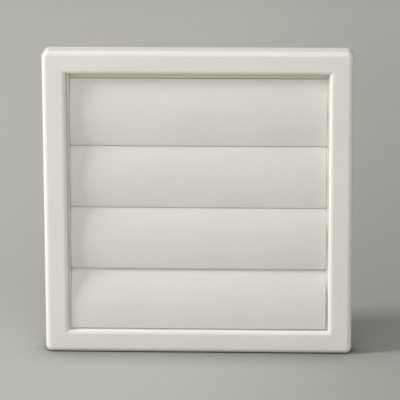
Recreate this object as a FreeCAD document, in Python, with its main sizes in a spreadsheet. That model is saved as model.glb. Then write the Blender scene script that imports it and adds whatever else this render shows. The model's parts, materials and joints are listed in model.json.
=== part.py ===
import FreeCAD, Part
import os
import re
import Sketcher

# Gravity-flap wall vent for a 100 mm duct, in millimetres.
# +X is to the right, +Z is up and +Y points into the wall, so the front faces -Y.
# The origin is the centre of the duct on the wall's surface.
# "Standoff" is a distance in front of the wall, which is -Y.

Vector = FreeCAD.Vector
doc = FreeCAD.newDocument("gravity_flap_vent")
sheet = doc.addObject("Spreadsheet::Sheet", "Sizes")

sizes = [
    # bezel
    ("frame_side", 140),
    ("frame_depth", 12),
    ("frame_wall", 2),
    ("frame_corner_radius", 3),
    ("frame_edge_radius", 2.2),
    ("side_border", 10.8),
    ("top_border", 10.55),
    ("opening_edge_radius", 2),
    ("return_depth", 3.4),
    ("return_wall", 1.6),
    # wall plate, and the catches that hold the bezel on it
    ("plate_thickness", 2.2),
    ("plate_clearance", 0.3),
    ("rim_wall", 1.6),
    ("rim_height", 3),
    ("shelf_wall", 1.6),
    ("seat_gap", 0.2),
    ("catch_length", 8),
    ("catch_height", 1.2),
    ("catch_reach", 0.7),
    ("catch_standoff", 2.9),
    ("catch_clearance", 0.3),
    ("catch_spacing", 70),
    ("wall_hole_radius", 2.25),
    ("wall_hole_inset", 7.2),
    ("wall_hole_drop", 15.45),
    # spigot
    ("spigot_radius", 49),
    ("spigot_wall", 1.6),
    ("spigot_length", 24),
    ("spigot_clearance", 0.15),
    ("spigot_lead", 3),
    ("spigot_lead_depth", 0.7),
    ("root_chamfer", 0.6),
    ("lug_offset", 3.5),
    ("lug_angle", 48),
    ("lug_radius", 6),
    ("lug_thickness", 1.4),
    ("boss_radius", 3),
    ("boss_height", 2.2),
    # screws
    ("screw_radius", 1.1),
    ("screw_clearance", 0.05),
    ("head_radius", 2),
    ("head_height", 0.8),
    ("head_clearance", 0.15),
    ("recess_width", 0.5),
    ("recess_length", 2.4),
    ("recess_depth", 0.4),
    ("spigot_screw_length", 3.6),
    ("strip_screw_length", 6),
    # bearing strips
    ("strip_thickness", 4),
    ("strip_reveal", 0.6),
    ("bearing_clearance", 0.08),
    # flaps
    ("top_gap", 2.5),
    ("sill_gap", 0.3),
    ("pivot_standoff", 6.4),
    ("flap_end_gap", 0.5),
    ("blade_thickness", 1.1),
    ("face_radius", 72),
    ("face_offset", 1),
    ("shoulder_height", 1.6),
    ("blade_gap", 0.4),
    ("lip_height", 3.4),
    ("lip_thickness", 1),
    ("lip_setback", 1.3),
    ("nose_height", 3.9),
    ("edge_round", 0.45),
    ("ear_thickness", 1.6),
    ("ear_radius", 1.9),
    ("ear_reach", 13),
    ("ear_taper", 12),
    ("pin_radius", 1.3),
    ("pin_engagement", 3),
]
for row, (alias, value) in enumerate(sizes, start=1):
    sheet.set(f"A{row}", alias)
    sheet.set(f"B{row}", str(value))
    sheet.setAlias(f"B{row}", alias)
doc.recompute()

# How far each flap's lower edge leans out of the vertical when it hangs shut, in degrees, top to bottom.
closed_leans = [0.5, 0.5, 2, 7]
# How far each flap has slid to the right in its sideways play, as a share of its end gap.
slide_shares = [0.3, 0.1, 0, 0]
sides = {"left": -1, "right": 1}

# Sizes that follow from those in the sheet.
derived = {
    "opening_width": "frame_side - 2 * side_border",
    "opening_height": "frame_side - 2 * top_border",
    "plate_half": "frame_side / 2 - frame_wall - plate_clearance",
    "strip_front": "frame_depth - return_depth - seat_gap",
    "strip_inside": "opening_width / 2 - strip_reveal",
    "strip_middle": "strip_inside + strip_thickness / 2",
    "strip_outside": "strip_inside + strip_thickness",
    "bore_radius": "spigot_radius - spigot_wall",
    "root_radius": "spigot_radius + root_chamfer",
    "lug_circle_radius": "spigot_radius + lug_offset",
    "lug_across": "lug_circle_radius * cos(lug_angle * 1 deg)",
    "lug_up": "lug_circle_radius * sin(lug_angle * 1 deg)",
    "wall_hole_across": "opening_width / 2 - wall_hole_inset",
    "wall_hole_up": "opening_height / 2 - wall_hole_drop",
    "strip_screw_end": "head_height + strip_screw_length",
    "spigot_screw_end": "head_height + spigot_screw_length",
    "flap_half": "strip_inside - flap_end_gap",
    # the gaps, the top flap's nose and the flaps' pitches fill the opening from top to bottom
    "stack_height": "opening_height - top_gap - nose_height - sill_gap",
    "flap_pitch": f"(stack_height + shoulder_height + blade_gap) / {len(closed_leans)}",
    "top_pivot_height": "opening_height / 2 - top_gap - nose_height",
    "blade_drop": "flap_pitch - shoulder_height - blade_gap",
    # the blade's face is part of a cylinder whose middle is halfway down the blade
    "face_middle": "(shoulder_height - blade_drop) / 2",
    "face_half": "(shoulder_height + blade_drop) / 2",
    "face_centre": "sqrt(face_radius * face_radius - face_half * face_half) - face_offset",
    "lip_front": "face_offset - lip_setback",
    "lip_back": "lip_front - lip_thickness",
    "lip_low": "shoulder_height - lip_thickness - edge_round",
}


def in_sheet(text):
    """Spell out each name in an expression: a derived size in full, any other as its cell in the sheet."""

    def spell(match):
        name = match.group()
        return f"({in_sheet(derived[name])})" if name in derived else "Sizes." + name

    return re.sub(r"\b[a-z]+(?:_[a-z]+)+\b", spell, text)


def value_of(text):
    return float(sheet.evalExpression(in_sheet(text)))


def bind(thing, **expressions):
    for name, text in expressions.items():
        thing.setExpression(name, in_sheet(text))


# --- PartDesign helpers ---------------------------------------------------------------------------


def new_body(name):
    body = doc.addObject("PartDesign::Body", name)
    body.Label = name
    return body


def new_sketch(body, plane, offset="0"):
    """A sketch on one of the body's own planes; on XZ_Plane the offset is a standoff from the wall."""
    sketch = body.newObject("Sketcher::SketchObject", body.Name + "_sketch")
    planes = [feature for feature in body.Origin.OriginFeatures if feature.Role == plane]
    sketch.AttachmentSupport = [(planes[0], "")]
    sketch.MapMode = "FlatFace"
    sketch.setExpression("AttachmentOffset.Base.z", in_sheet(offset))
    return sketch


def place_point(sketch, shape, point, across, up):
    """Hold one point of a sketch's shape at (across, up) from the sketch's origin."""
    for direction, text in (("DistanceX", across), ("DistanceY", up)):
        rule = Sketcher.Constraint(direction, -1, 1, shape, point, value_of(text))
        number = sketch.addConstraint(rule)
        sketch.setExpression(f"Constraints[{number}]", in_sheet(text))


def add_outline(sketch, corners):
    """A closed outline of straight edges through (across, up) corners."""
    places = [Vector(value_of(across), value_of(up), 0) for across, up in corners]
    count = len(corners)
    edges = []
    for number in range(count):
        line = Part.LineSegment(places[number], places[(number + 1) % count])
        edges.append(sketch.addGeometry(line, False))
    for number, (across, up) in enumerate(corners):
        place_point(sketch, edges[number], 1, across, up)
        sketch.addConstraint(Sketcher.Constraint("Coincident", edges[number - 1], 2, edges[number], 1))


def add_rectangle(sketch, left, right, low, high):
    add_outline(sketch, [(left, low), (right, low), (right, high), (left, high)])


def add_centred_rectangle(sketch, width, height):
    add_rectangle(sketch, f"-({width}) / 2", f"({width}) / 2", f"-({height}) / 2", f"({height}) / 2")


def add_circle(sketch, radius, across=None, up=None):
    """A circle at (across, up), or on the sketch's origin."""
    centre = Vector(0, 0, 0) if across is None else Vector(value_of(across), value_of(up), 0)
    circle = sketch.addGeometry(Part.Circle(centre, Vector(0, 0, 1), value_of(radius)), False)
    if across is None:
        sketch.addConstraint(Sketcher.Constraint("Coincident", circle, 3, -1, 1))
    else:
        place_point(sketch, circle, 3, across, up)
    number = sketch.addConstraint(Sketcher.Constraint("Radius", circle, value_of(radius)))
    sketch.setExpression(f"Constraints[{number}]", in_sheet(radius))


def add_pad(body, sketch, length):
    pad = body.newObject("PartDesign::Pad", body.Name + "_pad")
    pad.Profile = sketch
    bind(pad, Length=length)
    doc.recompute()


def add_pocket(body, sketch, length):
    """Cut from the sketch back towards the wall, or towards -X from a sketch on YZ_Plane."""
    before = body.Shape.Volume
    pocket = body.newObject("PartDesign::Pocket", body.Name + "_pocket")
    pocket.Profile = sketch
    bind(pocket, Length=length)
    doc.recompute()
    if body.Shape.Volume >= before - 1e-6:
        raise RuntimeError(f"{pocket.Name} cuts nothing")


def add_fillet(body, radius, wanted):
    """Round the edges of the body that the wanted(edge) test picks."""
    edges = [f"Edge{number}" for number, edge in enumerate(body.Shape.Edges, start=1) if wanted(edge)]
    tip = body.Tip
    fillet = body.newObject("PartDesign::Fillet", body.Name + "_fillet")
    fillet.Base = (tip, edges)
    bind(fillet, Radius=radius)
    doc.recompute()


def runs_along_depth(edge, half_width, half_height):
    """Whether an edge is parallel to Y and stands at a corner of a centred rectangle."""
    box = edge.BoundBox
    straight = box.XLength < 1e-3 and box.ZLength < 1e-3
    return straight and abs(abs(box.XMin) - half_width) < 1e-3 and abs(abs(box.ZMin) - half_height) < 1e-3


def lies_in_front(edge, standoff, reach):
    """Whether an edge lies in the plane at a standoff, all within reach of the centre or all beyond it."""
    box = edge.BoundBox
    flat = box.YLength < 1e-3 and abs(box.YMin + standoff) < 1e-3
    furthest = max(abs(box.XMin), abs(box.XMax), abs(box.ZMin), abs(box.ZMax))
    return flat and (furthest < reach[1]) and (furthest > reach[0])


# --- bezel ----------------------------------------------------------------------------------------


def catch_places():
    """Each catch as (axis, side, middle): two on each side of the square."""
    half = "catch_spacing / 2"
    return [(axis, side, middle) for axis in "xz" for side in "-+" for middle in (f"-{half}", half)]


def add_side_block(sketch, place, inner, outer, length):
    """A rectangle across one side of the square, between two distances from the centre."""
    axis, side, middle = place
    near, far = f"{side}({inner})", f"{side}({outer})"
    start, end = f"({middle}) - ({length}) / 2", f"({middle}) + ({length}) / 2"
    if axis == "x":
        add_rectangle(sketch, near, far, start, end)
    else:
        add_rectangle(sketch, start, end, near, far)


def make_bezel():
    body = new_body("front_bezel")
    outside = new_sketch(body, "XZ_Plane")
    add_centred_rectangle(outside, "frame_side", "frame_side")
    add_pad(body, outside, "frame_depth")
    cavity = new_sketch(body, "XZ_Plane", "frame_depth - frame_wall")
    add_centred_rectangle(cavity, "frame_side - 2 * frame_wall", "frame_side - 2 * frame_wall")
    add_pocket(body, cavity, "frame_depth - frame_wall")
    edging = new_sketch(body, "XZ_Plane", "frame_depth - return_depth")
    add_centred_rectangle(edging, "opening_width + 2 * return_wall", "opening_height + 2 * return_wall")
    add_pad(body, edging, "return_depth")
    opening = new_sketch(body, "XZ_Plane", "frame_depth")
    add_centred_rectangle(opening, "opening_width", "opening_height")
    add_pocket(body, opening, "frame_depth")
    # small ridges inside the walls click into the windows of the plate's rim
    catches = new_sketch(body, "XZ_Plane", "catch_standoff")
    inner, outer = "frame_side / 2 - frame_wall - catch_reach", "frame_side / 2 - frame_wall / 2"
    for place in catch_places():
        add_side_block(catches, place, inner, outer, "catch_length")
    add_pad(body, catches, "catch_height")
    half = value_of("frame_side") / 2
    front = value_of("frame_depth")
    window = max(value_of("opening_width"), value_of("opening_height")) / 2 + 0.5
    add_fillet(body, "frame_corner_radius", lambda edge: runs_along_depth(edge, half, half))
    add_fillet(body, "frame_edge_radius", lambda edge: lies_in_front(edge, front, (window, half + 1)))
    add_fillet(body, "opening_edge_radius", lambda edge: lies_in_front(edge, front, (0, window)))


# --- wall plate -----------------------------------------------------------------------------------


def lug_places():
    return [(f"{x}lug_across", f"{z}lug_up") for x in "-+" for z in "-+"]


def strip_screw_heights():
    """The strips are screwed halfway between the first two and the last two pivots."""
    return [f"top_pivot_height - {gaps} * flap_pitch" for gaps in (0.5, len(closed_leans) - 1.5)]


def make_wall_plate():
    body = new_body("wall_plate")
    sheet_outline = new_sketch(body, "XZ_Plane")
    add_centred_rectangle(sheet_outline, "2 * plate_half", "2 * plate_half")
    add_pad(body, sheet_outline, "plate_thickness")
    rim = new_sketch(body, "XZ_Plane", "plate_thickness")
    add_centred_rectangle(rim, "2 * plate_half", "2 * plate_half")
    add_centred_rectangle(rim, "2 * (plate_half - rim_wall)", "2 * (plate_half - rim_wall)")
    add_pad(body, rim, "rim_height")
    # a shelf above the flaps and one below them close the air path
    shelves = new_sketch(body, "XZ_Plane", "plate_thickness")
    end = "(strip_outside + seat_gap)"
    for side in "-+":
        inner, outer = f"{side}opening_height / 2", f"{side}(opening_height / 2 + shelf_wall)"
        add_rectangle(shelves, f"-{end}", end, inner, outer)
    add_pad(body, shelves, "strip_front - plate_thickness")
    bosses = new_sketch(body, "XZ_Plane", "plate_thickness")
    for across, up in lug_places():
        add_circle(bosses, "boss_radius", across, up)
    add_pad(body, bosses, "boss_height")
    duct = new_sketch(body, "XZ_Plane", "plate_thickness + boss_height")
    add_circle(duct, "root_radius + spigot_clearance")
    add_pocket(body, duct, "plate_thickness + boss_height")
    lugs = new_sketch(body, "XZ_Plane", "lug_thickness")
    pilots = new_sketch(body, "XZ_Plane", "spigot_screw_end")
    for across, up in lug_places():
        add_circle(lugs, "lug_radius + spigot_clearance", across, up)
        add_circle(pilots, "screw_radius + screw_clearance", across, up)
    add_pocket(body, lugs, "lug_thickness")
    add_pocket(body, pilots, "spigot_screw_end")
    wall_holes = new_sketch(body, "XZ_Plane", "plate_thickness")
    for x in "-+":
        for z in "-+":
            add_circle(wall_holes, "wall_hole_radius", f"{x}wall_hole_across", f"{z}wall_hole_up")
    add_pocket(body, wall_holes, "plate_thickness")
    strip_holes = new_sketch(body, "XZ_Plane", "plate_thickness")
    strip_heads = new_sketch(body, "XZ_Plane", "head_height + head_clearance")
    for side in "-+":
        for height in strip_screw_heights():
            add_circle(strip_holes, "screw_radius + head_clearance", f"{side}strip_middle", height)
            add_circle(strip_heads, "head_radius + head_clearance", f"{side}strip_middle", height)
    add_pocket(body, strip_holes, "plate_thickness")
    add_pocket(body, strip_heads, "head_height + head_clearance")
    windows = new_sketch(body, "XZ_Plane", "catch_standoff + catch_height + catch_clearance")
    for place in catch_places():
        inner, outer = "plate_half - 2 * rim_wall", "plate_half + rim_wall"
        add_side_block(windows, place, inner, outer, "catch_length + 2 * catch_clearance")
    add_pocket(body, windows, "catch_height + 2 * catch_clearance")


# --- spigot ---------------------------------------------------------------------------------------


def make_spigot():
    body = new_body("duct_spigot")
    wall = new_sketch(body, "YZ_Plane")
    tip_radius = "spigot_radius - spigot_lead_depth"
    add_outline(
        wall,
        [
            ("-plate_thickness", "bore_radius"),
            ("spigot_length", "bore_radius"),
            ("spigot_length", tip_radius),
            ("spigot_length - spigot_lead", "spigot_radius"),
            ("root_chamfer", "spigot_radius"),
            ("0", "root_radius"),
            ("-plate_thickness", "root_radius"),
        ],
    )
    turned = body.newObject("PartDesign::Revolution", "duct_spigot_wall")
    turned.Profile = wall
    turned.ReferenceAxis = (wall, ["H_Axis"])
    turned.Angle = 360
    doc.recompute()
    lugs = new_sketch(body, "XZ_Plane")
    for across, up in lug_places():
        add_circle(lugs, "lug_radius", across, up)
    add_pad(body, lugs, "lug_thickness")
    bore = new_sketch(body, "XZ_Plane", "lug_thickness")
    add_circle(bore, "bore_radius")
    add_pocket(body, bore, "lug_thickness")
    shanks = new_sketch(body, "XZ_Plane", "lug_thickness")
    heads = new_sketch(body, "XZ_Plane", "head_height")
    for across, up in lug_places():
        add_circle(shanks, "screw_radius + head_clearance", across, up)
        add_circle(heads, "head_radius + head_clearance", across, up)
    add_pocket(body, shanks, "lug_thickness")
    add_pocket(body, heads, "head_height")


# --- bearing strips -------------------------------------------------------------------------------


def pivot_height(number):
    return f"(top_pivot_height - {number} * flap_pitch)"


def make_bearing_strip(side_name):
    body = new_body(f"{side_name}_bearing_strip")
    sign = "-" if sides[side_name] < 0 else "+"
    block = new_sketch(body, "XZ_Plane", "plate_thickness")
    near, far = f"{sign}strip_inside", f"{sign}strip_outside"
    end = "(opening_height / 2 - seat_gap)"
    add_rectangle(block, near, far, f"-{end}", end)
    add_pad(body, block, "strip_front - plate_thickness")
    bearings = new_sketch(body, "YZ_Plane", far if sides[side_name] > 0 else near)
    for number in range(len(closed_leans)):
        add_circle(bearings, "pin_radius + bearing_clearance", "-pivot_standoff", pivot_height(number))
    add_pocket(body, bearings, "strip_thickness")
    pilots = new_sketch(body, "XZ_Plane", "strip_screw_end")
    for height in strip_screw_heights():
        add_circle(pilots, "screw_radius + screw_clearance", f"{sign}strip_middle", height)
    add_pocket(body, pilots, "strip_screw_end - plate_thickness")


# --- Part helpers ---------------------------------------------------------------------------------


def new_part(kind, name, **values):
    thing = doc.addObject(kind, name)
    for key, value in values.items():
        setattr(thing, key, value)
    return thing


def box_between(name, left, right, back, front, low, high):
    """A box between two X places, two distances in front of its own origin and two heights."""
    box = doc.addObject("Part::Box", name)
    bind(box, Length=f"({right}) - ({left})", Width=f"({front}) - ({back})", Height=f"({high}) - ({low})")
    for axis, text in (("x", left), ("y", f"-({front})"), ("z", low)):
        box.setExpression(f"Placement.Base.{axis}", in_sheet(text))
    return box


def cylinder_along_x(name, radius, start, length, behind="0", up="0"):
    cylinder = doc.addObject("Part::Cylinder", name)
    cylinder.Placement = FreeCAD.Placement(Vector(0, 0, 0), FreeCAD.Rotation(Vector(0, 1, 0), 90))
    bind(cylinder, Radius=radius, Height=length)
    for axis, text in (("x", start), ("y", behind), ("z", up)):
        cylinder.setExpression(f"Placement.Base.{axis}", in_sheet(text))
    return cylinder


def hang_on_pivot(thing, number):
    """Place a piece, made round the pivot at the origin, on pivot number with its closed lean."""
    turn = f"create(<<rotation>>; create(<<vector>>; 1; 0; 0); {-closed_leans[number]})"
    slide = f"{slide_shares[number]} * flap_end_gap"
    place = f"create(<<vector>>; {slide}; -pivot_standoff; {pivot_height(number)})"
    thing.setExpression("Placement", in_sheet(f"create(<<placement>>; {place}; {turn})"))


# --- flaps ----------------------------------------------------------------------------------------

def blade_cylinder(name, radius, start="-flap_half", length="2 * flap_half"):
    return cylinder_along_x(name, radius, start, length, "face_centre", "face_middle")


def make_blade(number):
    name = f"flap_{number + 1}_blade"
    is_top = number == 0
    curve = new_part(
        "Part::Cut",
        name + "_curve",
        Base=blade_cylinder(name + "_front", "face_radius"),
        Tool=blade_cylinder(name + "_back", "face_radius - blade_thickness"),
    )
    top = "nose_height" if is_top else "shoulder_height"
    reach = "face_radius / 2"
    slab = box_between(name + "_slab", "-flap_half", "flap_half", f"-{reach}", reach, "-blade_drop", top)
    face = new_part("Part::Common", name + "_face", Base=curve, Tool=slab)
    pieces = [face]
    if not is_top:
        # the lip lies behind the lower edge of the flap above, between the ears
        between = ("ear_thickness - flap_half", "flap_half - ear_thickness", "lip_back")
        lip = box_between(name + "_lip", *between, "lip_front", "lip_low", "lip_height")
        web_front = "face_offset - blade_thickness / 2"
        web = box_between(name + "_web", *between, web_front, "lip_low", "shoulder_height")
        pieces += [lip, web]
    joined = new_part("Part::MultiFuse", name + "_joined", Shapes=pieces, Refine=True) if pieces[1:] else face
    doc.recompute()
    rounded = new_part("Part::Fillet", name, Base=joined)
    radius = min(value_of("edge_round"), 0.45 * value_of("blade_thickness"))
    lower = -value_of("blade_drop")
    upper = value_of(top)
    rounded.Edges = [
        (index, radius, radius)
        for index, edge in enumerate(joined.Shape.Edges, start=1)
        if is_long_edge(edge, lower) or is_long_edge(edge, upper) and stands_proud(edge)
    ]
    rounded.Label = name
    hang_on_pivot(rounded, number)


def is_long_edge(edge, height):
    box = edge.BoundBox
    return box.XLength > 1 and abs(box.ZMin - height) < 1e-3 and abs(box.ZMax - height) < 1e-3


def stands_proud(edge):
    """Whether an edge lies in front of the pivot, so that it isn't the inner corner at the lip."""
    return edge.BoundBox.YMax < 0


def make_ear(number, side_name):
    """The ear lies behind the blade's end and carries the pivot pin."""
    name = f"flap_{number + 1}_{side_name}_ear"
    side = sides[side_name]
    start = "flap_half - ear_thickness" if side > 0 else "-flap_half"
    end = f"({start}) + ear_thickness"
    behind_blade = blade_cylinder(name + "_behind", "face_radius - blade_thickness", start, "ear_thickness")
    block = box_between(
        name + "_block", start, end, "-ear_radius", "face_radius / 2", "-ear_reach", "ear_radius"
    )
    web = new_part("Part::Common", name + "_web", Base=behind_blade, Tool=block)
    wedge = box_between(
        name + "_wedge", start, end, "-face_radius", "-ear_radius", "-face_radius", "face_radius"
    )
    turn = f"create(<<rotation>>; create(<<vector>>; 1; 0; 0); -ear_taper)"
    swing = f"create(<<vector>>; {start}; ear_radius; -face_radius)"
    centre = f"create(<<vector>>; 0; -ear_radius; face_radius)"
    wedge.setExpression("Placement", in_sheet(f"create(<<placement>>; {swing}; {turn}; {centre})"))
    tapered = new_part("Part::Cut", name + "_tapered", Base=web, Tool=wedge)
    pin_length = "flap_end_gap + pin_engagement"
    pin_start = "flap_half" if side > 0 else f"-flap_half - ({pin_length})"
    pin = cylinder_along_x(name + "_pin", "pin_radius", pin_start, pin_length)
    ear = new_part("Part::MultiFuse", name, Shapes=[tapered, pin], Refine=True)
    ear.Label = name
    hang_on_pivot(ear, number)


# --- screws ---------------------------------------------------------------------------------------


def cylinder_to_front(name, radius, start, length):
    """A cylinder along -Y that starts at a standoff from the wall."""
    cylinder = doc.addObject("Part::Cylinder", name)
    cylinder.Placement = FreeCAD.Placement(Vector(0, 0, 0), FreeCAD.Rotation(Vector(1, 0, 0), 90))
    bind(cylinder, Radius=radius, Height=length)
    cylinder.setExpression("Placement.Base.y", in_sheet(f"-({start})"))
    return cylinder


def make_screws(name, length, places):
    """A group of screws driven from behind, their heads flush with the wall's surface."""
    screws = []
    for number, (across, up) in enumerate(places, start=1):
        own = f"{name}_{number}"
        head = cylinder_to_front(own + "_head", "head_radius", "0", "head_height")
        shank = cylinder_to_front(own + "_shank", "screw_radius", "head_height", length)
        solid = new_part("Part::MultiFuse", own + "_solid", Shapes=[head, shank], Refine=True)
        half_width, half_length = "recess_width / 2", "recess_length / 2"
        level = box_between(
            own + "_level", f"-{half_length}", half_length, "0", "recess_depth", f"-{half_width}", half_width
        )
        upright = box_between(
            own + "_upright", f"-{half_width}", half_width, "0", "recess_depth", f"-{half_length}", half_length
        )
        cross = new_part("Part::MultiFuse", own + "_cross", Shapes=[level, upright])
        screw = new_part("Part::Cut", own, Base=solid, Tool=cross)
        screw.setExpression("Placement.Base.x", in_sheet(across))
        screw.setExpression("Placement.Base.z", in_sheet(up))
        screws.append(screw)
    group = new_part("Part::Compound", name, Links=screws)
    group.Label = name


# --- assembly -------------------------------------------------------------------------------------

make_bezel()
make_wall_plate()
make_spigot()
for side_name in sides:
    make_bearing_strip(side_name)
for flap in range(len(closed_leans)):
    make_blade(flap)
    for side_name in sides:
        make_ear(flap, side_name)
make_screws("spigot_screws", "spigot_screw_length", lug_places())
strip_places = [(f"{side}strip_middle", height) for side in "-+" for height in strip_screw_heights()]
make_screws("strip_screws", "strip_screw_length", strip_places)
doc.recompute()

pieces = ["front_bezel", "wall_plate", "duct_spigot", "spigot_screws", "strip_screws"]
pieces += [f"{side_name}_bearing_strip" for side_name in sides]
for flap in range(len(closed_leans)):
    pieces.append(f"flap_{flap + 1}_blade")
    pieces += [f"flap_{flap + 1}_{side_name}_ear" for side_name in sides]

for thing in doc.Objects:
    if "Invalid" in thing.State or "Error" in thing.State:
        raise RuntimeError(f"{thing.Label} failed: {thing.State}")
os.makedirs("parts", exist_ok=True)
for label in pieces:
    shape = doc.getObjectsByLabel(label)[0].Shape
    wanted = 4 if label.endswith("screws") else 1
    if shape.isNull() or not shape.isValid() or len(shape.Solids) != wanted:
        raise RuntimeError(f"{label} is not {wanted} sound solid(s)")
    shape.exportStep(f"parts/{label}.step")
    print(f"{label}: {shape.Volume / 1000:.2f} cm3")
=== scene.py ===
import json
import math

import bpy
from mathutils import Matrix, Vector


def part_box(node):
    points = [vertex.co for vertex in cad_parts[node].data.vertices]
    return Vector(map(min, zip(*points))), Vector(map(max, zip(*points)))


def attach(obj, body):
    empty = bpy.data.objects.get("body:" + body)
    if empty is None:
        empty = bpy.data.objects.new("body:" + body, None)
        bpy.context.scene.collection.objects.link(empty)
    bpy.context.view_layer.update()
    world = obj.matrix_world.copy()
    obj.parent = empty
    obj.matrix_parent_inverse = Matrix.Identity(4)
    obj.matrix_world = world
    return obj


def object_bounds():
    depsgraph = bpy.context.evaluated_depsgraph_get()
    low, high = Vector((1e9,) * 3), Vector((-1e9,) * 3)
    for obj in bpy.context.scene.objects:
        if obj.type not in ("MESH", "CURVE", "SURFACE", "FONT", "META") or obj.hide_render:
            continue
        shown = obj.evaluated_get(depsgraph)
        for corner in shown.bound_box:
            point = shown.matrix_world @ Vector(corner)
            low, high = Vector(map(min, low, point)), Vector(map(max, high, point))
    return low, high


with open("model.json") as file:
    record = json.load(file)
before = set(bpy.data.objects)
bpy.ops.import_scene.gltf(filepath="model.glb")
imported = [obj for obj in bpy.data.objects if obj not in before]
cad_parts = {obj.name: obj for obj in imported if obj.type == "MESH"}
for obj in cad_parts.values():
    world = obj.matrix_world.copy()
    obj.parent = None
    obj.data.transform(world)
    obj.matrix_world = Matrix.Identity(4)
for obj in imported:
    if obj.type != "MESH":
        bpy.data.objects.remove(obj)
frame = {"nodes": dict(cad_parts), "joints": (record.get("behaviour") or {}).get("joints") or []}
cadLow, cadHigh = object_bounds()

flapNumbers = range(1, len(frame["joints"]) + 1)
print("frame loaded:", len(frame["nodes"]), "nodes")

cameraView = {
    "place": (0.0503, -1.1797, 0.2773),
    "turnLeft": 2.417,  # degrees about the upright
    "tipDown": 13.25,
    "roll": -0.191,
    "lens": 238.9,
    "sensorWidth": 36,
    "clip": (0.05, 50),
}


def makeCamera(view):
    turn, tip, roll = (math.radians(view[key]) for key in ("turnLeft", "tipDown", "roll"))
    level = math.cos(tip)
    forward = Vector((-math.sin(turn) * level, math.cos(turn) * level, -math.sin(tip)))
    right = Vector((math.cos(turn), math.sin(turn), 0))
    up = right.cross(forward)
    rolledRight = right * math.cos(roll) + up * math.sin(roll)
    rolledUp = up * math.cos(roll) - right * math.sin(roll)
    axes = Matrix((rolledRight, rolledUp, -forward)).transposed()
    bpy.ops.object.camera_add(location=view["place"], rotation=axes.to_euler())
    camera = bpy.context.object
    camera.name = "camera"
    camera.data.lens = view["lens"]
    camera.data.sensor_width = view["sensorWidth"]
    camera.data.clip_start, camera.data.clip_end = view["clip"]
    bpy.context.scene.camera = camera


makeCamera(cameraView)
print("camera ready")

# Each lamp's direction is seen from the middle of the grille.
lightSetup = {
    "keyToward": (-0.8845, -0.2287, 0.4067),
    "keyDistance": 1.5,
    "keySize": (0.32, 0.4),
    "keyPower": 19.7,
    "keyColour": (0.985, 0.985, 0.955),
    "fillToward": (0.02, -0.9, 0.38),
    "fillDistance": 0.95,
    "fillSize": (0.6, 0.6),
    "fillPower": 2.45,
    "fillColour": (1.0, 0.995, 0.975),
    "topToward": (0.0, -0.55, 1.0),
    "topDistance": 2.5,
    "topSize": (2.0, 1.6),
    "topPower": 7.0,
    "topColour": (1.0, 1.0, 0.99),
    "skyColour": (1.0, 0.985, 0.955),
    "skyStrength": 0.335,
}


def addLamp(name, toward, distance, size, power, colour):
    middle = (cadLow + cadHigh) / 2
    direction = Vector(toward).normalized()
    turn = direction.to_track_quat("Z", "Y").to_euler()
    bpy.ops.object.light_add(type="AREA", location=middle + direction * distance, rotation=turn)
    lamp = bpy.context.object
    lamp.name = name
    lamp.data.shape = "RECTANGLE"
    lamp.data.size, lamp.data.size_y = size
    lamp.data.energy = power
    lamp.data.color = colour


def makeLights(setup):
    for lampName in ("key", "fill", "top"):
        addLamp(
            lampName + "Lamp",
            setup[lampName + "Toward"],
            setup[lampName + "Distance"],
            setup[lampName + "Size"],
            setup[lampName + "Power"],
            setup[lampName + "Colour"],
        )
    world = bpy.data.worlds.new("room")
    world.use_nodes = True
    sky = world.node_tree.nodes["Background"]
    sky.inputs["Color"].default_value = (*setup["skyColour"], 1)
    sky.inputs["Strength"].default_value = setup["skyStrength"]
    bpy.context.scene.world = world
    bpy.context.scene.view_settings.view_transform = "Standard"


makeLights(lightSetup)
print("lights ready")


def addNode(tree, kind, values=None, **settings):
    node = tree.nodes.new(kind)
    for name, value in settings.items():
        setattr(node, name, value)
    for socket, value in (values or {}).items():
        node.inputs[socket].default_value = value
    return node


def calculate(tree, operation, first, second):
    node = tree.nodes.new("ShaderNodeMath")
    node.operation = operation
    for socket, value in zip(node.inputs, (first, second)):
        if isinstance(value, bpy.types.NodeSocket):
            tree.links.new(value, socket)
        else:
            socket.default_value = value
    return node.outputs["Value"]


def mixColour(tree, mask, under, over):
    node = tree.nodes.new("ShaderNodeMix")
    node.data_type = "RGBA"
    for index, value in ((0, mask), (6, under), (7, over)):
        if isinstance(value, bpy.types.NodeSocket):
            tree.links.new(value, node.inputs[index])
        else:
            node.inputs[index].default_value = value if index == 0 else (*value, 1)
    return node.outputs[2]


def spread(tree, value, fromLow, fromHigh, toLow=0.0, toHigh=1.0, kind="LINEAR"):
    values = {"From Min": fromLow, "From Max": fromHigh, "To Min": toLow, "To Max": toHigh}
    node = addNode(tree, "ShaderNodeMapRange", values, interpolation_type=kind)
    tree.links.new(value, node.inputs["Value"])
    return node.outputs["Result"]


def addNoise(tree, scale, detail=2.0, roughness=0.5):
    place = addNode(tree, "ShaderNodeTexCoord")
    noise = addNode(tree, "ShaderNodeTexNoise", {"Detail": detail, "Roughness": roughness})
    tree.links.new(place.outputs["Object"], noise.inputs["Vector"])
    if isinstance(scale, bpy.types.NodeSocket):
        tree.links.new(scale, noise.inputs["Scale"])
    else:
        noise.inputs["Scale"].default_value = scale
    return noise.outputs["Fac"]


def newGroup(name, inputs, outputs):
    group = bpy.data.node_groups.new(name, "ShaderNodeTree")
    socketType = "NodeSocketFloat"
    for socketName, value in inputs.items():
        socket = group.interface.new_socket(socketName, in_out="INPUT", socket_type=socketType)
        socket.default_value = value
    for socketName in outputs:
        group.interface.new_socket(socketName, in_out="OUTPUT", socket_type=socketType)
    given, put = group.nodes.new("NodeGroupInput"), group.nodes.new("NodeGroupOutput")
    return group, given.outputs, put.inputs


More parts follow.
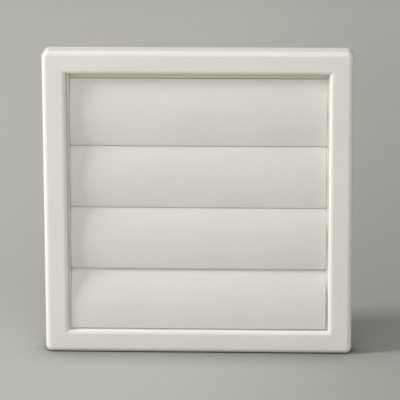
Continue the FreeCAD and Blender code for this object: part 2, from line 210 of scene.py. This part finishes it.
skinSetup = {
    "inputs": {"Grains per Metre": 2600.0, "Ripples per Metre": 38.0},
    "grain": (3.0, 0.6),  # detail and roughness of the noise
    "ripple": (1.0, 0.4),
}
wearSetup = {
    "inputs": {"Width": 0.0006, "Patches per Metre": 160.0},
    "turn": (0.995, 0.86),  # cosine of the turn at which the wear starts, and where it is full
    "detail": 3.0,
    "patches": (0.35, 0.6),  # share of the noise left bare, and where the wear is full
}
dustAndShadeSetup = {
    "inputs": {"Corner Width": 0.004, "Film": 0.4, "Clumps per Metre": 420.0},
    "upward": (0.6, 1.0),  # how far up a face looks where the dust film and the painted top light start, and where they are full
    "corner": (0.75, 0.15),  # openness where the painted shade in a corner starts, and where it is full
    "detail": (4.0, 0.65),
    "thinnest": 0.55,
}
noiseSpan = (0.3, 0.7)  # nearly all of a noise lies between these


def makeMouldSkin(setup):
    # the fine grain of a spark-eroded mould, and the ripple of plastic that shrank as it cooled
    group, given, put = newGroup("mouldSkin", setup["inputs"], ("Height", "Ripple"))
    grain = addNoise(group, given["Grains per Metre"], *setup["grain"])
    ripple = addNoise(group, given["Ripples per Metre"], *setup["ripple"])
    group.links.new(calculate(group, "ADD", grain, ripple), put["Height"])
    group.links.new(ripple, put["Ripple"])
    return group


def makeEdgeWear(setup):
    # edges and corners that hands and cloths have polished, broken up so that the line isn't even
    group, given, put = newGroup("edgeWear", setup["inputs"], ("Mask",))
    rounded = addNode(group, "ShaderNodeBevel", samples=4)
    group.links.new(given["Width"], rounded.inputs["Radius"])
    flat = addNode(group, "ShaderNodeNewGeometry")
    turn = addNode(group, "ShaderNodeVectorMath", operation="DOT_PRODUCT")
    group.links.new(rounded.outputs["Normal"], turn.inputs[0])
    group.links.new(flat.outputs["Normal"], turn.inputs[1])
    edge = spread(group, turn.outputs["Value"], *setup["turn"])
    noise = addNoise(group, given["Patches per Metre"], setup["detail"])
    patches = spread(group, noise, *setup["patches"])
    group.links.new(calculate(group, "MULTIPLY", edge, patches), put["Mask"])
    return group


def makeDustAndCornerShade(setup):
    # fine dust as a film on what faces up, and painted shade in corners and joints
    group, given, put = newGroup("settledDust", setup["inputs"], ("Mask", "Facing Up"))
    face = addNode(group, "ShaderNodeNewGeometry")
    parts = addNode(group, "ShaderNodeSeparateXYZ")
    group.links.new(face.outputs["Normal"], parts.inputs["Vector"])
    facingUp = spread(group, parts.outputs["Z"], *setup["upward"])
    film = calculate(group, "MULTIPLY", facingUp, given["Film"])
    # painted shade: darker where the surface is hemmed in, as in corners and joints
    openness = addNode(group, "ShaderNodeAmbientOcclusion", samples=6)
    group.links.new(given["Corner Width"], openness.inputs["Distance"])
    corner = spread(group, openness.outputs["AO"], *setup["corner"])
    noise = addNoise(group, given["Clumps per Metre"], *setup["detail"])
    clumps = spread(group, noise, *noiseSpan, setup["thinnest"], 1.0)
    both = calculate(group, "MAXIMUM", film, corner)
    group.links.new(calculate(group, "MULTIPLY", both, clumps), put["Mask"])
    # what faces up, also used for the painted top light
    group.links.new(facingUp, put["Facing Up"])
    return group


mouldSkin = makeMouldSkin(skinSetup)
edgeWear = makeEdgeWear(wearSetup)
settledDust = makeDustAndCornerShade(dustAndShadeSetup)
print("shared effects ready")


def newMaterial(name):
    material = bpy.data.materials.new(name)
    material.use_nodes = True
    return material, material.node_tree, material.node_tree.nodes["Principled BSDF"]


def addGroup(tree, group, values=None):
    node = tree.nodes.new("ShaderNodeGroup")
    node.node_tree = group
    for socket, value in (values or {}).items():
        node.inputs[socket].default_value = value
    return node.outputs


def makePlastic(name, look):
    material, tree, shader = newMaterial(name)
    skin = addGroup(tree, mouldSkin, {"Grains per Metre": look["grains"]})
    worn = addGroup(tree, edgeWear)
    dust = addGroup(tree, settledDust, {"Film": look["film"], "Corner Width": look["corner"]})
    drift = spread(tree, skin["Ripple"], *noiseSpan)
    colour = mixColour(tree, drift, look["colour"], look["driftColour"])
    # the dust mask also lays painted shade in corners and joints, and the facing-up mask a painted
    # top light
    covers = (
        (worn["Mask"], look["wear"], look["wornColour"]),
        (dust["Mask"], look["dust"], look["dustColour"]),
        (dust["Facing Up"], look["bleach"], look["bleachedColour"]),
    )
    for mask, share, cover in covers:
        colour = mixColour(tree, calculate(tree, "MULTIPLY", mask, share), colour, cover)
    tree.links.new(colour, shader.inputs["Base Color"])
    smoothest, roughest = look["rough"] - look["roughDrift"], look["rough"] + look["roughDrift"]
    rough = spread(tree, skin["Ripple"], *noiseSpan, smoothest, roughest)
    polish = calculate(tree, "MULTIPLY", worn["Mask"], look["wornPolish"])
    rough = calculate(tree, "SUBTRACT", rough, polish)
    dull = calculate(tree, "MULTIPLY", dust["Mask"], look["dustDull"])
    tree.links.new(calculate(tree, "ADD", rough, dull), shader.inputs["Roughness"])
    relief = {"Strength": look["bump"], "Distance": look["bumpDepth"]}
    bump = addNode(tree, "ShaderNodeBump", relief)
    tree.links.new(skin["Height"], bump.inputs["Height"])
    tree.links.new(bump.outputs["Normal"], shader.inputs["Normal"])
    shader.inputs["Subsurface Weight"].default_value = look["glow"]
    shader.inputs["Subsurface Radius"].default_value = look["glowSpread"]
    shader.inputs["Subsurface Scale"].default_value = look["glowDepth"]
    shader.inputs["Specular IOR Level"].default_value = look["shine"]
    return material


def paintNodes(nodeNames, material):
    for nodeName in nodeNames:
        for slot in frame["nodes"][nodeName].material_slots:
            slot.material = material


bezelLook = {
    "colour": (0.765, 0.748, 0.712),
    "driftColour": (0.785, 0.768, 0.734),
    "wear": 0.35,  # of the edges, by hands and cloths
    "wornColour": (0.80, 0.785, 0.745),
    # dust, with painted shade in corners and joints
    "dust": 0.30,
    "dustColour": (0.60, 0.56, 0.44),
    "film": 0.10,  # share of the dust that lies on what faces up
    "corner": 0.004,
    "bleach": 0.9,  # painted light: a lighter colour on what faces up, standing in for more light from above
    "bleachedColour": (0.90, 0.885, 0.835),
    "grains": 2600.0,  # per metre
    "bump": 0.25,
    "bumpDepth": 0.00003,
    "rough": 0.42,
    "roughDrift": 0.03,
    "wornPolish": 0.08,
    "dustDull": 0.2,
    "shine": 0.45,
    "glow": 0.35,  # light that passes under the surface
    "glowDepth": 0.0022,
    "glowSpread": (1.0, 0.92, 0.8),
}
bladeLook = {
    **bezelLook,
    "colour": (0.735, 0.718, 0.69),
    "driftColour": (0.755, 0.738, 0.71),
    "wear": 0.25,
    # dust, with heavier painted shade in corners, at the seams and under the lip
    "dust": 0.4,
    "dustColour": (0.58, 0.53, 0.40),
    "corner": 0.005,
    "bleach": 0.0,
    "rough": 0.45,
    "glow": 0.55,
    "glowDepth": 0.0018,
    "glowSpread": (1.0, 0.96, 0.9),
}
backLook = {
    **bezelLook,
    "colour": (0.735, 0.715, 0.665),
    "driftColour": (0.76, 0.742, 0.695),
    "grains": 1500.0,
    "bump": 0.45,
    "rough": 0.52,
    "film": 0.5,
}
stripLook = {**backLook, "glow": 0.5, "rough": 0.46}
earLook = {
    **bezelLook,
    "colour": (0.78, 0.765, 0.72),
    "driftColour": (0.74, 0.72, 0.665),
    "rough": 0.34,
    "glow": 0.7,
    "glowDepth": 0.004,
}
markPlasticLook = {**bladeLook, "glow": 0.0, "dust": 0.15, "wear": 0.1}  # too thin to glow
blades = [f"flap_{number}_blade" for number in flapNumbers]
ears = [f"flap_{number}_{side}_ear" for number in flapNumbers for side in ("left", "right")]
finishes = {
    "bezelAbs": (bezelLook, ["front_bezel"]),
    "bladeAbs": (bladeLook, blades),
    "backAbs": (backLook, ["wall_plate", "duct_spigot"]),
    "stripAbs": (stripLook, ["left_bearing_strip", "right_bearing_strip"]),
    "earNylon": (earLook, ears),
    "markAbs": (markPlasticLook, []),
}
plastics = {}
for finishName, (look, nodeNames) in finishes.items():
    plastics[finishName] = makePlastic(finishName, look)
    paintNodes(nodeNames, plastics[finishName])
print("plastics ready:", ", ".join(plastics))

zincLook = {
    "bright": (0.66, 0.67, 0.69),
    "dull": (0.42, 0.425, 0.43),
    "wear": 0.6,
    "wearWidth": 0.0003,
    "wearPatches": 600.0,
    "stains": 900.0,
    "stainDetail": (4.0, 0.65),
    "stainSpan": (0.35, 0.65),
    "rough": 0.3,
    "stainRougher": 0.2,
    "grains": 5200.0,
    "bump": 0.4,
    "bumpDepth": 0.00002,
}


def makeZinc(look):
    material, tree, shader = newMaterial("screwZinc")
    wearValues = {"Width": look["wearWidth"], "Patches per Metre": look["wearPatches"]}
    worn = calculate(tree, "MULTIPLY", addGroup(tree, edgeWear, wearValues)["Mask"], look["wear"])
    stain = spread(tree, addNoise(tree, look["stains"], *look["stainDetail"]), *look["stainSpan"])
    colour = mixColour(tree, stain, look["bright"], look["dull"])
    tree.links.new(mixColour(tree, worn, colour, look["bright"]), shader.inputs["Base Color"])
    rough = spread(tree, stain, 0.0, 1.0, look["rough"], look["rough"] + look["stainRougher"])
    tree.links.new(rough, shader.inputs["Roughness"])
    relief = {"Strength": look["bump"], "Distance": look["bumpDepth"]}
    bump = addNode(tree, "ShaderNodeBump", relief)
    tree.links.new(addNoise(tree, look["grains"]), bump.inputs["Height"])
    tree.links.new(bump.outputs["Normal"], shader.inputs["Normal"])
    shader.inputs["Metallic"].default_value = 1.0
    return material


paintNodes(("spigot_screws", "strip_screws"), makeZinc(zincLook))
print("zinc ready")

ribLook = {
    **bezelLook,
    # painted light: the rib's colour is lighter and warmer than the bezel's, standing in for the
    # warm light bounced round inside the gaps
    "colour": (0.83, 0.785, 0.63),
    "driftColour": (0.80, 0.745, 0.57),
    "dust": 0.12,
    "glow": 0.6,
    "tipRoom": 0.0001,  # beside the flaps' tips
    "edgeRoom": 0.0002,  # above the top flap and below the lowest
    "pinRoom": 0.00145,  # above and below each pivot
    "edgeReach": 0.00065,  # of the flange over the strip's front
    "front": -0.0088,
    "lowFronts": (-0.0088, -0.0088, -0.0088, -0.0103),  # beside each flap's lower edge
    "back": -0.0045,
    "headFront": -0.0068,
    "sillFront": -0.0103,
    "sillBack": -0.0080,
    "round": 0.00008,
}


smoothAngle = math.radians(35)  # edges that turn by more stay sharp


def addBar(name, across, upright, fronts, back, rounding):
    (left, right), (bottom, top), (lowFront, topFront) = across, upright, fronts
    middle = Vector((left + right, topFront + back, bottom + top)) / 2
    size = (right - left, back - topFront, top - bottom)
    bpy.ops.object.select_all(action="DESELECT")
    bpy.ops.mesh.primitive_cube_add(size=1, location=middle, scale=size)
    bpy.ops.object.transform_apply(location=True, rotation=True, scale=True)
    bar = bpy.context.object
    bar.name = name
    bpy.ops.object.mode_set(mode="EDIT")
    bpy.ops.mesh.select_all(action="DESELECT")
    bpy.ops.object.mode_set(mode="OBJECT")
    for vertex in bar.data.vertices:
        vertex.select = vertex.co.y < middle.y and vertex.co.z < middle.z
    bpy.ops.object.mode_set(mode="EDIT")
    bpy.ops.transform.translate(value=(0, lowFront - topFront, 0))
    bpy.ops.mesh.select_all(action="SELECT")
    bpy.ops.mesh.bevel(offset=rounding, segments=2, affect="EDGES")
    bpy.ops.object.mode_set(mode="OBJECT")
    return bar


def joinPieces(pieces, name):
    bpy.ops.object.select_all(action="DESELECT")
    for piece in pieces:
        piece.select_set(True)
    bpy.context.view_layer.objects.active = pieces[0]
    bpy.ops.object.join()
    joined = bpy.context.object
    joined.name = joined.data.name = name
    bpy.ops.object.shade_smooth_by_angle(angle=smoothAngle)
    return joined


def makeDraughtRib(look):
    # a thin rib on the strips that closes the slit round the shut flaps, broken at the pivots
    pivots = [joint["pos_m"][2] for joint in frame["joints"]]
    bladeBoxes = [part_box(blade) for blade in blades]
    (stripLow, stripHigh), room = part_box("right_bearing_strip"), look["pinRoom"]
    inside, stripFront = stripLow[0], stripLow[1]
    bars = []

    def addRibBar(across, upright, fronts, back):
        bars.append(addBar("ribBar", across, upright, fronts, back, look["round"]))

    for index, (bladeLow, bladeHigh) in enumerate(bladeBoxes):
        pivot, lowest = pivots[index], index == len(pivots) - 1
        lowEnd = stripLow[2] if lowest else pivots[index + 1]
        highEnd = pivot if index else stripHigh[2]
        flangeFronts = (look["lowFronts"][index], look["front"])
        lengths = [(lowEnd if lowest else lowEnd + room, pivot - room)]
        if index == 0:
            lengths.append((pivot + room, stripHigh[2]))
        tips = (bladeLow[0] - look["tipRoom"], bladeHigh[0] + look["tipRoom"])
        for side, tip in zip((-1, 1), tips):
            flange = tuple(sorted((side * (inside + look["edgeReach"]), tip)))
            addRibBar(flange, (lowEnd, highEnd), flangeFronts, stripFront)
            slit = tuple(sorted((side * inside, tip)))
            for length in lengths:
                addRibBar(slit, length, (stripFront, stripFront), look["back"])
    whole = (-inside, inside)
    head = (bladeBoxes[0][1][2] + look["edgeRoom"], stripHigh[2])
    addRibBar(whole, head, (look["headFront"], look["headFront"]), look["back"])
    sill = (stripLow[2] - look["edgeRoom"], bladeBoxes[-1][0][2] - look["edgeRoom"])
    addRibBar(whole, sill, (look["sillFront"], look["sillFront"]), look["sillBack"])
    rib = joinPieces(bars, "draughtRib")
    rib.data.materials.append(makePlastic("ribPlastic", look))
    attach(rib, "housing")


makeDraughtRib(ribLook)
print("draught rib ready")

markLook = {
    "radius": 0.0016,
    "rim": 0.00025,
    "height": 0.0003,
    "hollow": -0.00004,
    "proud": 0.00007,
    "bladeAcross": (-0.040, 0.0, 0.040),
    "bladeBack": -0.0014,  # from the pivot's axis to the blade's back, halfway down
    "bladeDown": 0.01205,
    "leans": (0.0, 0.0, 1.5, 6.5),  # how far each shut flap hangs forward of the first, in degrees
    "plateFront": -0.0022,
    "platePlaces": ((-0.030, 0.0535), (0.030, 0.0535), (-0.030, -0.0535), (0.030, -0.0535)),
}


def selectFaces(piece, chosen):
    bpy.ops.object.mode_set(mode="EDIT")
    bpy.ops.mesh.select_mode(type="FACE")
    bpy.ops.mesh.select_all(action="DESELECT")
    bpy.ops.object.mode_set(mode="OBJECT")
    for face in piece.data.polygons:
        face.select = chosen(face)
    bpy.ops.object.mode_set(mode="EDIT")


def makeMark(look):
    # the print of an ejector pin: a shallow disc with a fine raised rim, facing +Z
    bpy.ops.object.select_all(action="DESELECT")
    bpy.ops.mesh.primitive_cylinder_add(vertices=40, radius=look["radius"], depth=look["height"])
    mark = bpy.context.object
    selectFaces(mark, lambda face: face.normal.z > 0.9)
    bpy.ops.mesh.inset(thickness=look["rim"])
    bpy.ops.mesh.extrude_region_move(TRANSFORM_OT_translate={"value": (0, 0, look["hollow"])})
    bpy.ops.mesh.inset(thickness=look["rim"] / 2)
    bpy.ops.object.mode_set(mode="OBJECT")
    return mark


def placeMark(mark, place, turn):
    copy = mark.copy()
    copy.data = mark.data.copy()
    bpy.context.collection.objects.link(copy)
    copy.data.transform(Matrix.Translation(place) @ turn)
    return copy


def makeMarks(look):
    mark = makeMark(look)
    backwards = Matrix.Rotation(math.radians(-90), 4, "X")
    sunk = look["height"] / 2 - look["proud"]
    for number in flapNumbers:
        pivot = Vector(frame["joints"][number - 1]["pos_m"])
        lean = Matrix.Rotation(math.radians(-look["leans"][number - 1]), 4, "X")
        marks = []
        for across in look["bladeAcross"]:
            place = pivot + lean @ Vector((across, look["bladeBack"] - sunk, -look["bladeDown"]))
            marks.append(placeMark(mark, place, lean @ backwards))
        flapMarks = joinPieces(marks, f"flap_{number}_pin_marks")
        flapMarks.data.materials.append(plastics["markAbs"])
        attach(flapMarks, f"flap_{number}")
    forwards = Matrix.Rotation(math.radians(90), 4, "X")
    marks = []
    for across, up in look["platePlaces"]:
        marks.append(placeMark(mark, Vector((across, look["plateFront"] + sunk, up)), forwards))
    plateMarks = joinPieces(marks, "plate_pin_marks")
    plateMarks.data.materials.append(plastics["markAbs"])
    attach(plateMarks, "housing")
    bpy.data.objects.remove(mark)


makeMarks(markLook)
print("ejector pin marks ready")

partingLook = {
    "width": 0.0003,
    "height": 0.00012,
    "rootReach": 0.0006,  # how far the spigot's root stands out past its wall
    "from": 0.0008,
    "to": 0.0206,
    "grip": 0.0002,
    "round": 0.00005,
}


def makePartingLines(look):
    # where the two halves of the spigot's mould met
    radius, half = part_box("duct_spigot")[1][0] - look["rootReach"], look["width"] / 2
    inner, outer = radius - look["grip"], radius + look["height"]
    upright, fronts = (-half, half), (look["from"], look["from"])
    bars = []
    for across in ((-outer, -inner), (inner, outer)):
        bars.append(addBar("partingBar", across, upright, fronts, look["to"], look["round"]))
    lines = joinPieces(bars, "spigot_parting_lines")
    lines.data.materials.append(plastics["backAbs"])
    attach(lines, "housing")


makePartingLines(partingLook)
print("parting lines ready")

beadLook = {
    "drop": 0.00023,
    "grip": 0.0003,
    "depth": 0.0005,
    "faceReach": 0.001,  # from the pivot's axis to the face of a flap that hangs straight
    "forward": 0.0002,
    "leans": (0.0, 0.0, 1.5),  # how far each flap's lower edge hangs forward, in degrees
    "round": 0.00006,
}


def makeEdgeBead(number, look):
    # a small lip along a flap's lower edge, which narrows the joint with the flap below
    bladeLow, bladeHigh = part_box(f"flap_{number}_blade")
    pivot = frame["joints"][number - 1]["pos_m"]
    swing = (pivot[2] - bladeLow[2]) * math.sin(math.radians(look["leans"][number - 1]))
    edge = pivot[1] - look["faceReach"] - swing - look["forward"]
    front, back = edge - look["depth"] / 2, edge + look["depth"] / 2
    upright = (bladeLow[2] - look["drop"], bladeLow[2] + look["grip"])
    across = (bladeLow[0] + look["grip"], bladeHigh[0] - look["grip"])
    bead = addBar(f"flap_{number}_edge_bead", across, upright, (front, front), back, look["round"])
    bead.data.materials.append(plastics["bladeAbs"])
    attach(bead, f"flap_{number}")


for number in flapNumbers[:-1]:
    makeEdgeBead(number, beadLook)
print("edge beads ready")

floorLook = {
    "width": 9.0,
    "middle": 1.5,  # how far behind the grille the floor's middle lies
    "left": (0.49, 0.495, 0.462),
    "right": (0.375, 0.38, 0.355),
    "farLeft": (0.79, 0.795, 0.745),
    "farRight": (0.72, 0.725, 0.695),
    "sides": (-0.04, 0.13),  # where the paint starts and stops darkening to the right: painted shade, deepening the grille's cast shadow on that side
    "depths": (0.1, 0.95),  # where it starts and stops lightening to the back: painted light, making up for the lamps' light falling off with distance
    "rough": 0.9,
    "shine": 0.1,
    "contact": 0.03,  # how far from the grille the floor still darkens beside it
    "openness": (0.95, 0.1),  # where that shade starts, and where it is full
    "contactShade": 0.9,
    "shadeColour": (0.03, 0.03, 0.03),
}


def makeFloor(look):
    bpy.ops.object.select_all(action="DESELECT")
    bpy.ops.mesh.primitive_plane_add(size=look["width"], location=(0, look["middle"], cadLow.z))
    bpy.ops.object.transform_apply(location=True, rotation=True, scale=True)
    floor = bpy.context.object
    floor.name = "floor"
    paint, tree, shader = newMaterial("floorPaint")
    place = addNode(tree, "ShaderNodeTexCoord")
    parts = addNode(tree, "ShaderNodeSeparateXYZ")
    tree.links.new(place.outputs["Object"], parts.inputs["Vector"])
    # painted shade and light: the paint darkens to the right, deepening the grille's cast shadow,
    # and lightens to the back, making up for the lamps' falloff
    across = spread(tree, parts.outputs["X"], *look["sides"], kind="SMOOTHSTEP")
    away = spread(tree, parts.outputs["Y"], *look["depths"])
    near = mixColour(tree, across, look["left"], look["right"])
    far = mixColour(tree, across, look["farLeft"], look["farRight"])
    reach = {"Distance": look["contact"]}
    openness = addNode(tree, "ShaderNodeAmbientOcclusion", reach, samples=8)
    shade = spread(tree, openness.outputs["AO"], *look["openness"], 0.0, look["contactShade"])
    colour = mixColour(tree, shade, mixColour(tree, away, near, far), look["shadeColour"])
    tree.links.new(colour, shader.inputs["Base Color"])
    shader.inputs["Roughness"].default_value = look["rough"]
    shader.inputs["Specular IOR Level"].default_value = look["shine"]
    floor.data.materials.append(paint)


makeFloor(floorLook)
print("floor ready")
